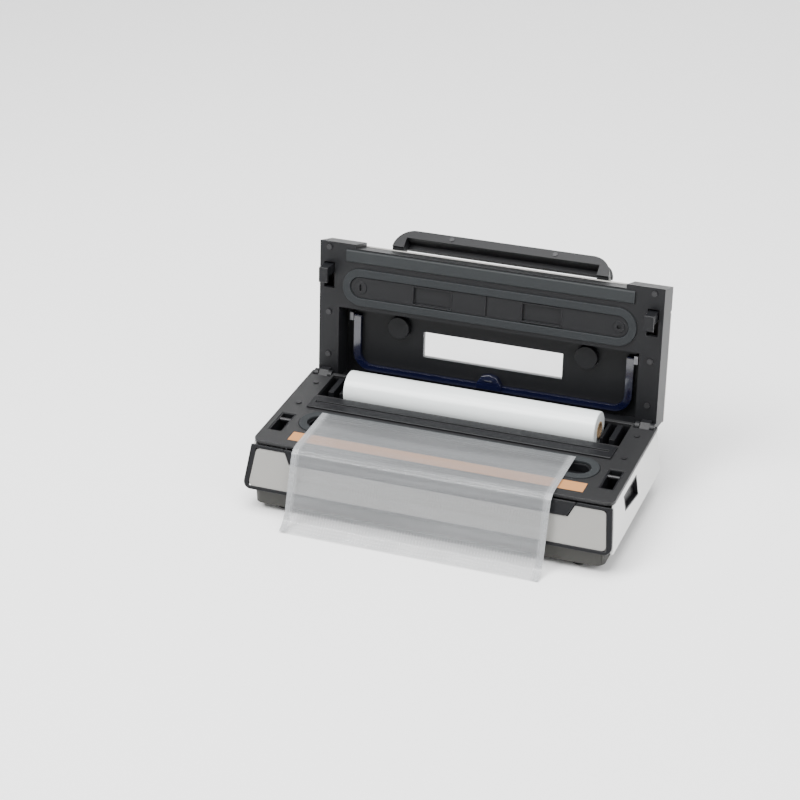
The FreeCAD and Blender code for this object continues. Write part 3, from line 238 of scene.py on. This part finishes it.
def pattern_height(sh: Shader, pattern: Pattern) -> bpy.types.NodeSocket:
    """Build the pattern itself.

    Args:
        sh: the tree to build in.
        pattern: which pattern.

    Returns:
        A socket from 0 to 1, high where the surface is high.
    """
    place = sh.add("ShaderNodeTexCoord").outputs["Object"]

    def noise(cloud: Cloud) -> bpy.types.NodeSocket:
        """Add cloudy noise.

        Args:
            cloud: its size and stretch.

        Returns:
            Its socket.
        """
        mapping = sh.add("ShaderNodeMapping", Scale=cloud.stretch)
        sh.join(place, mapping.inputs["Vector"])
        node = sh.add("ShaderNodeTexNoise", Scale=cloud.scale, Detail=cloud.detail)
        sh.join(mapping.outputs[0], node.inputs["Vector"])
        return node.outputs["Fac"]

    def wave(scale: float, direction: str) -> bpy.types.NodeSocket:
        """Add even bands across one axis.

        Args:
            scale: bands to the metre.
            direction: the axis.

        Returns:
            Their socket.
        """
        node = sh.add("ShaderNodeTexWave", Scale=scale, bands_direction=direction)
        sh.join(place, node.inputs["Vector"])
        return node.outputs["Fac"]

    if pattern is Pattern.FOAM:
        cells = sh.add("ShaderNodeTexVoronoi", Scale=FOAM_CELLS)
        sh.join(place, cells.inputs["Vector"])
        return cells.outputs["Distance"]
    if pattern is Pattern.WOVEN:
        return sh.sums("MULTIPLY", wave(WEAVE_BANDS, "X"), wave(WEAVE_BANDS, "Y"))
    if pattern is Pattern.FILM:
        grid = sh.sums("MAXIMUM", wave(EMBOSS_BANDS, "X"), wave(EMBOSS_BANDS, "Y"))
        creases = noise(CREASES)
        return sh.sums("ADD", sh.sums("MULTIPLY", grid, EMBOSS_SHARE),
                       sh.sums("MULTIPLY", creases, CREASE_SHARE))
    return noise(CLOUDS[pattern])


@cache
def pattern_group(pattern: Pattern) -> bpy.types.NodeTree:
    """The node group of a pattern, made once.

    Args:
        pattern: which pattern.

    Returns:
        A group that turns a colour, a roughness and a spread into varied ones, with a height.
    """
    group = bpy.data.node_groups.new(f"pattern_{pattern.value}", "ShaderNodeTree")
    for way, kind, label in (
        ("INPUT", "NodeSocketColor", "Colour"), ("INPUT", "NodeSocketFloat", "Rough"),
        ("INPUT", "NodeSocketFloat", "Spread"), ("OUTPUT", "NodeSocketColor", "Colour"),
        ("OUTPUT", "NodeSocketFloat", "Rough"), ("OUTPUT", "NodeSocketFloat", "Height"),
    ):
        group.interface.new_socket(label, in_out=way, socket_type=kind)
    sh = Shader(group)
    given, made = sh.add("NodeGroupInput"), sh.add("NodeGroupOutput")
    height = pattern_height(sh, pattern)
    shade = sh.sums("MULTIPLY", sh.sums("SUBTRACT", 1.0, height), given.outputs["Spread"])
    mix = sh.add("ShaderNodeMix", data_type="RGBA", blend_type="MULTIPLY")
    dark = sh.add("ShaderNodeCombineColor")
    level = sh.sums("SUBTRACT", 1.0, shade)
    for socket in dark.inputs:
        sh.join(level, socket)
    mix.inputs["Factor"].default_value = 1.0
    colours = [socket for socket in mix.inputs if socket.type == "RGBA"]
    sh.join(given.outputs["Colour"], colours[0])
    sh.join(dark.outputs[0], colours[1])
    sh.join([socket for socket in mix.outputs if socket.type == "RGBA"][0], made.inputs["Colour"])
    rough = sh.sums("ADD", given.outputs["Rough"], sh.sums("MULTIPLY", shade, LOW_ROUGH))
    sh.join(rough, made.inputs["Rough"])
    sh.join(height, made.inputs["Height"])
    return group


@cache
def material(slot: str) -> bpy.types.Material:
    """The material of a finish, made once.

    Args:
        slot: the record's slot name.

    Returns:
        A material whose colour, roughness and bumps come from the finish's pattern.
    """
    finish = FINISHES[slot]
    made = bpy.data.materials.new(f"{slot}_finish")
    made.use_nodes = True
    made.node_tree.nodes.clear()
    sh = Shader(made.node_tree)
    surface = sh.add("ShaderNodeBsdfPrincipled", Metallic=finish.metal, Coat_Weight=finish.coat,
                     Coat_Roughness=LACQUER_ROUGH, Alpha=finish.alpha,
                     Specular_IOR_Level=BRIGHT_GLOSS if finish.metal or finish.coat else PLASTIC_GLOSS)
    varied = sh.add("ShaderNodeGroup", node_tree=pattern_group(finish.pattern))
    varied.inputs["Colour"].default_value = (*finish.colour, 1.0)
    varied.inputs["Rough"].default_value = finish.rough
    varied.inputs["Spread"].default_value = finish.spread
    if finish.alpha < 1:
        extra = sh.add("ShaderNodeAttribute", attribute_name="cover").outputs["Fac"]
        cover = sh.sums("ADD", sh.sums("MULTIPLY", varied.outputs["Height"], COVER_PATTERN), COVER_LEAST)
        cover = sh.sums("ADD", cover, extra)
        sh.join(sh.sums("MULTIPLY", cover, finish.alpha), surface.inputs["Alpha"])
    sh.join(varied.outputs["Colour"], surface.inputs["Base Color"])
    sh.join(varied.outputs["Rough"], surface.inputs["Roughness"])
    if finish.relief:
        bump = sh.add("ShaderNodeBump", Strength=BUMP, Distance=finish.relief)
        sh.join(varied.outputs["Height"], bump.inputs["Height"])
        sh.join(bump.outputs[0], surface.inputs["Normal"])
    sh.join(surface.outputs[0], sh.add("ShaderNodeOutputMaterial").inputs["Surface"])
    return made


def shading(form: bmesh.types.BMesh, edge_angle: float) -> list[Vector]:
    """Normals that keep flat faces flat and roll round the narrow faces between them.

    Args:
        form: the shape.
        edge_angle: faces that meet at more than this, in degrees, are shaded apart.

    Returns:
        One normal for each corner of each face.
    """
    least = math.cos(math.radians(edge_angle))
    areas = {face: face.calc_area() for face in form.faces}
    normals = []
    for face in form.faces:
        for corner in face.loops:
            near = [other for other in corner.vert.link_faces if other.normal.dot(face.normal) > least]
            near.sort(key=lambda other: other.index)
            widest = max((areas[other] for other in near), default=0.0)
            normals.append(sum((other.normal * areas[other] for other in near
                                if areas[other] > SMALL_FACE * widest), Vector()).normalized())
    return normals


def shaped(name: str, form: bmesh.types.BMesh, slot: str, edge_angle: float = 50) -> bpy.types.Object:
    """Make an object of a bmesh, smooth but for its sharp edges.

    Args:
        name: the object's name.
        form: the shape, which is freed.
        slot: the finish it takes.
        edge_angle: edges sharper than this, in degrees, stay sharp.

    Returns:
        The object, at the origin.
    """
    bmesh.ops.recalc_face_normals(form, faces=form.faces)
    form.faces.sort(key=lambda face: face.calc_center_median().dot(FACE_ORDER))
    normals = shading(form, edge_angle)
    mesh = bpy.data.meshes.new(name)
    form.to_mesh(mesh)
    form.free()
    mesh.shade_smooth()
    mesh.normals_split_custom_set(normals)
    mesh.materials.clear()
    mesh.materials.append(material(slot))
    made = bpy.data.objects.new(name, mesh)
    bpy.context.scene.collection.objects.link(made)
    return made


def laid_grid(columns: int, rows: int, place: Callable[[float, int], tuple[float, float, float]],
              ) -> bmesh.types.BMesh:
    """A grid of faces, laid out by a rule.

    Args:
        columns: faces across.
        rows: faces along.
        place: where the point goes that is at a share of the way across, on a numbered row.

    Returns:
        The grid.
    """
    form = bmesh.new()
    bmesh.ops.create_grid(form, x_segments=columns, y_segments=rows, size=0.5)
    for point in form.verts:
        point.co = place(point.co.x + 0.5, round((point.co.y + 0.5) * rows))
    return form


class Frame:
    """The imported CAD, and what is known about each of its nodes."""

    def __init__(self) -> None:
        """Load the frame, and read each node's slot and body from its record."""
        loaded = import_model()
        self.nodes: dict[str, bpy.types.Object] = loaded["nodes"]
        record = loaded["record"]
        self.slots = {part["node"]: part["material_slot"] for part in record["subparts"]}
        self.body = {node: body for body, nodes in record["behaviour"]["bodies"].items()
                     for node in nodes}
        self.edge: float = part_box("top_deck")[0][1]

    def dress(self) -> None:
        """Give every CAD node the material of its slot."""
        for node, thing in self.nodes.items():
            thing.data.materials.clear()
            thing.data.materials.append(material(self.slots[node]))

    def softened(self, node: str, width: float, segments: int = 2) -> bpy.types.Object:
        """Stand in for a node with a copy whose sharp edges are rounded, as moulding leaves them.

        Args:
            node: the CAD node.
            width: how far the rounding reaches from each edge.
            segments: how many steps it takes.

        Returns:
            The rounded copy.
        """
        form = bmesh.new()
        form.from_mesh(self.nodes[node].data)
        bmesh.ops.remove_doubles(form, verts=form.verts, dist=MERGE_WITHIN)
        bmesh.ops.dissolve_limit(form, angle_limit=math.radians(FLAT_WITHIN), verts=form.verts,
                                 edges=form.edges)
        sharp = [edge for edge in form.edges
                 if edge.is_manifold and edge.calc_face_angle(0) > math.radians(SHARP_OVER)]
        bmesh.ops.bevel(form, geom=sharp, offset=width, offset_type="OFFSET", segments=segments,
                        profile=0.5, affect="EDGES", clamp_overlap=True, material=-1)
        made = shaped(f"{node}_moulded", form, self.slots[node])
        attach(made, self.body[node])
        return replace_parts(made, node)


@dataclass
class Film:
    """The bag's film, from behind the trough, over the seal line and down to the table.

    Args:
        frame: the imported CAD.
        columns: faces across the film.
        rows: faces along it.
        thick: thickness of its two plies together.
        seam_columns: how many columns at each side are the bag's side seams.
        seam_cover: how much more the seams hide than one layer does.
        rear_fade: how much less the flat rear end hides.
        rear_reach: how far the rear end's thinning reaches.
        sunk: how far its line lies under the top of the CAD film.
        ripple: how far the free end waves out of its line.
        slow_wave: the ripple's long waves, in radians across the film.
        slow_drift: how far the long waves shift along the free end, in radians.
        quick_wave: the ripple's short waves, in radians across the film.
        free_from: the share of its length from which it hangs free.
        clear: the least height over the table.
        foot: its front end, as distance behind the CAD film's and height over the table.
        fall: the bend over the deck's front edge, as distance ahead of the edge and below the film's top.
        lean: the straight part, as distance ahead of the edge and height over the table.
    """

    frame: Frame
    columns: int = 60
    rows: int = 89
    thick: float = 0.00022
    seam_columns: float = 1.5
    seam_cover: float = 1.2
    rear_fade: float = 0.5
    rear_reach: float = 0.03
    sunk: float = 0.0002
    ripple: float = 0.0011
    slow_wave: float = 9.5
    slow_drift: float = 2.1
    quick_wave: float = 21
    free_from: float = 0.52
    clear: float = 0.0006
    foot: tuple[float, float] = (0.0004, 0.0009)
    fall: tuple[tuple[float, float], ...] = ((-0.006, 0.0), (0.003, 0.0006), (0.009, 0.0045), (0.0145, 0.016))
    lean: tuple[tuple[float, float], ...] = ((0.0325, 0.016), (0.0385, 0.0075))

    def path(self, low: Vector, high: Vector) -> list[tuple[float, float]]:
        """The film's line from its rear edge to its front one, in the YZ plane.

        Args:
            low: low corner of the CAD film.
            high: high corner of the CAD film.

        Returns:
            Points, evenly spaced, one for each row's end.
        """
        top, edge = high.z - self.sunk, self.frame.edge
        knots = [(high.y, top)]
        knots += [(edge - ahead, top - below) for ahead, below in self.fall]
        knots += [(edge - ahead, height) for ahead, height in self.lean]
        knots.append((low.y + self.foot[0], self.foot[1]))
        gone = np.r_[0, np.cumsum(np.hypot(*np.diff(knots, axis=0).T))]
        even = np.linspace(0, gone[-1], self.rows + 1)
        return [(float(y), float(z)) for y, z in
                zip(*(np.interp(even, gone, [knot[axis] for knot in knots]) for axis in (0, 1)))]

    def build(self) -> bpy.types.Object:
        """Make the film as a thin closed sheet.

        Returns:
            The film.
        """
        low, high = (Vector(corner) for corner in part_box("bag_film"))
        line = self.path(low, high)
        width = high.x - low.x

        def place(across: float, row: int) -> tuple[float, float, float]:
            """Put a point on the line, lifted a little off it where the film hangs free.

            Args:
                across: the share of the way across.
                row: the row's number, from the rear.

            Returns:
                The point.
            """
            (y, z), after, before = line[row], line[min(row + 1, self.rows)], line[max(row - 1, 0)]
            run = math.dist(after, before)
            free = max(0.0, (row / self.rows - self.free_from) / (1 - self.free_from))
            slow = math.sin(self.slow_wave * across + self.slow_drift * free)
            lift = free * self.ripple * (1 + slow * math.sin(self.quick_wave * across))
            return (low.x + width * across, y + lift * (after[1] - before[1]) / run,
                    max(z + lift * (before[0] - after[0]) / run, self.clear))

        form = laid_grid(self.columns, self.rows, place)
        cover = form.verts.layers.float.new("cover")
        for point in form.verts:
            inward = min(point.co.x - low.x, high.x - point.co.x)
            if inward < self.seam_columns * width / self.columns:
                point[cover] = self.seam_cover
            point[cover] -= self.rear_fade * max(0.0, 1 - (high.y - point.co.y) / self.rear_reach)
        form.normal_update()
        bmesh.ops.solidify(form, geom=form.faces[:], thickness=self.thick)
        made = shaped("bag_film_sheet", form, "bag_film", 60)
        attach(made, self.frame.body["bag_film"])
        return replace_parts(made, "bag_film")


@dataclass
class WoundRoll:
    """The bag roll: film wound on its core, with its loose end's step along the back.

    Args:
        frame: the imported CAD.
        around: steps round the roll.
        core: radius of the bore, just over the card core's.
        softness: rounding of the roll's ends.
        step: height of the loose end's step.
    """

    frame: Frame
    around: int = 96
    core: float = 0.00905
    softness: float = 0.0012
    step: float = 0.00045

    def build(self) -> bpy.types.Object:
        """Spin the roll's section round its axis and wind it down by the step in one turn.

        Returns:
            The roll.
        """
        low, high = (Vector(corner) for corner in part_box("bag_roll"))
        centre, outer, third = (low + high) / 2, (high.z - low.z) / 2, self.softness / 3
        end = [(0.0, self.core), (0.0, outer - self.softness), (third, outer - third),
               (self.softness, outer)]
        section = [(low.x + x, r) for x, r in end] + [(high.x - x, r) for x, r in reversed(end)]
        form = bmesh.new()
        rim = [form.verts.new((x, centre.y, centre.z + r)) for x, r in section]
        rings = [form.edges.new(pair) for pair in zip(rim, rim[1:] + rim[:1])]
        bmesh.ops.spin(form, geom=rim + rings, cent=centre, axis=(1, 0, 0), angle=math.tau,
                       steps=self.around, use_merge=True)
        for point in form.verts:
            out = Vector((0, point.co.y - centre.y, point.co.z - centre.z))
            if out.length > self.core + self.softness:
                point.co -= out.normalized() * self.step * (math.atan2(out.z, out.y) % math.tau) / math.tau
        made = shaped("bag_roll_wound", form, "roll_film", 40)
        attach(made, self.frame.body["bag_roll"])
        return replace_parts(made, "bag_roll")


@dataclass(frozen=True)
class Lamp:
    """One soft square lamp that faces the appliance.

    Args:
        name: its name.
        place: where it stands.
        size: its side.
        power: its power in watts.
    """

    name: str
    place: tuple[float, float, float]
    size: float
    power: float


LAMPS = (
    Lamp("key", (-1.1, -1.2, 2.2), 1.3, 90),
    Lamp("fill", (1.9, -0.9, 1.5), 1.5, 40),
    Lamp("top", (0.0, -0.2, 2.6), 1.8, 110),
)


@dataclass
class Studio:
    """Pale floor, soft light and the camera.

    Args:
        target: the point that the lamps face and that the camera is set round.
        azimuth: how far the camera is turned to the right of the front, in degrees.
        elevation: how high it looks down from, in degrees.
        roll: how far it is tipped about its own axis, in degrees.
        distance: how far it stands from the target.
        lens: focal length in millimetres, on a sensor of full width.
        aside: how far it is moved to its own right and up.
        sensor: width of the sensor in millimetres.
        daylight: strength of the white surroundings.
        floor_half: half the floor's width.
        floor_ends: where the floor starts in front, and where it begins to curve up behind.
        curve: radius of that curve.
        curve_turns: where round the curve its first and last points are, in radians.
        curve_points: how many points it has.
        backdrop: height of the backdrop's top.
        floor_gap: how far the floor lies under the feet.
    """

    target: Vector
    azimuth: float = 22.78
    elevation: float = 29.59
    roll: float = 2.11
    distance: float = 2.287
    lens: float = 99.675
    aside: tuple[float, float] = (-0.0534, 0.0383)
    sensor: float = 36
    daylight: float = 0.45
    floor_half: float = 5.0
    floor_ends: tuple[float, float] = (-4.0, 1.6)
    curve: float = 1.0
    curve_turns: tuple[float, float] = (0.1, 1.57)
    curve_points: int = 12
    backdrop: float = 5.0
    floor_gap: float = 0.0002

    def camera(self) -> None:
        """Place the camera and make it the scene's."""
        az, el, turn = (math.radians(a) for a in (self.azimuth, self.elevation, self.roll))
        back = Vector((math.sin(az) * math.cos(el), -math.cos(az) * math.cos(el), math.sin(el)))
        level = Vector((math.cos(az), math.sin(az), 0))
        rise = back.cross(level)
        right = level * math.cos(turn) - rise * math.sin(turn)
        up = level * math.sin(turn) + rise * math.cos(turn)
        data = bpy.data.cameras.new("camera")
        data.lens, data.sensor_width = self.lens, self.sensor
        camera = bpy.data.objects.new("camera", data)
        place = self.target + back * self.distance + right * self.aside[0] + up * self.aside[1]
        camera.matrix_world = Matrix.Translation(place) @ Matrix((right, up, back)).transposed().to_4x4()
        bpy.context.scene.collection.objects.link(camera)
        bpy.context.scene.camera = camera

    def floor(self) -> None:
        """A wide white floor that curves up behind."""
        near, far = self.floor_ends
        profile = [(near, 0.0), (far, 0.0)]
        profile += [(far + self.curve * math.sin(turn), self.curve * (1 - math.cos(turn)))
                    for turn in np.linspace(*self.curve_turns, self.curve_points)]
        profile.append((far + self.curve, self.backdrop))
        form = laid_grid(1, len(profile) - 1, lambda across, row: (
            self.floor_half * (2 * across - 1), profile[row][0], profile[row][1] - self.floor_gap))
        shaped("floor", form, "floor_white", 60)

    def light(self, lamp: Lamp) -> None:
        """Hang one lamp, turned to the target.

        Args:
            lamp: the lamp.
        """
        data = bpy.data.lights.new(lamp.name, "AREA")
        data.size, data.energy = lamp.size, lamp.power
        hung = bpy.data.objects.new(lamp.name, data)
        turned = (self.target - Vector(lamp.place)).to_track_quat("-Z", "Y").to_matrix().to_4x4()
        hung.matrix_world = Matrix.Translation(lamp.place) @ turned
        bpy.context.scene.collection.objects.link(hung)

    def build(self) -> None:
        """Set up the whole studio."""
        self.floor()
        self.camera()
        for lamp in LAMPS:
            self.light(lamp)
        world = bpy.data.worlds.new("studio")
        world.use_nodes = True
        sky = world.node_tree.nodes["Background"].inputs
        sky["Color"].default_value = (1, 1, 1, 1)
        sky["Strength"].default_value = self.daylight
        bpy.context.scene.world = world


@dataclass(frozen=True)
class Moulding:
    """The moulded pieces of one sub-assembly.

    Args:
        name: the sub-assembly.
        edges: how far moulding rounds the edges of each of its nodes, in millimetres.
    """

    name: str
    edges: dict[str, float]

    def build(self, frame: Frame) -> list[bpy.types.Object]:
        """Stand in for each node with its rounded copy."""
        return [frame.softened(node, width * MM) for node, width in self.edges.items()]


MOULDINGS = (
    Moulding("base", {
        "base_tray": 1.0, "feet": 0.8, "side_panel_left": 0.6, "side_panel_right": 0.6,
        "rear_cover": 0.5, "front_lip": 0.9, "fascia_frame": 0.6, "front_fascia": 0.4,
    }),
    Moulding("deck", {"top_deck": 0.7, "film_guide": 0.5, "lower_gasket": 0.9, "roll_holders": 0.5}),
    Moulding("lid", {
        "lid_inner_frame": 0.8, "lid_outer_cover": 0.6, "chamber_panel": 0.5, "upper_gasket": 0.9,
        "roll_bumpers": 0.8, "control_panel": 0.4,
    }),
    Moulding("latch", {"latch_hook_left": 0.5, "latch_hook_right": 0.5}),
    Moulding("handle", {"handle_grip": 1.6, "handle_cover": 1.4}),
    Moulding("cutter", {"cutter_bail": 1.2, "cutter_slider": 0.6}),
)


def report(group: str, pieces: list[bpy.types.Object]) -> None:
    """Report each piece of a group.

    Args:
        group: what the pieces belong to.
        pieces: the pieces.
    """
    for piece in pieces:
        LOG.info("%s: %s, %d faces", group, piece.name, len(piece.data.polygons))


def main() -> None:
    """Load the frame, dress it, make and report the pieces and set up the studio."""
    logging.basicConfig(level=logging.INFO)
    frame = Frame()
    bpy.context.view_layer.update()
    frame.dress()
    for moulding in MOULDINGS:
        report(moulding.name, moulding.build(frame))
    report("bag", [Film(frame).build(), WoundRoll(frame).build()])
    Studio(Vector((0, frame.edge + TARGET_BEHIND, TARGET_HEIGHT))).build()


if __name__ == "__main__":
    main()
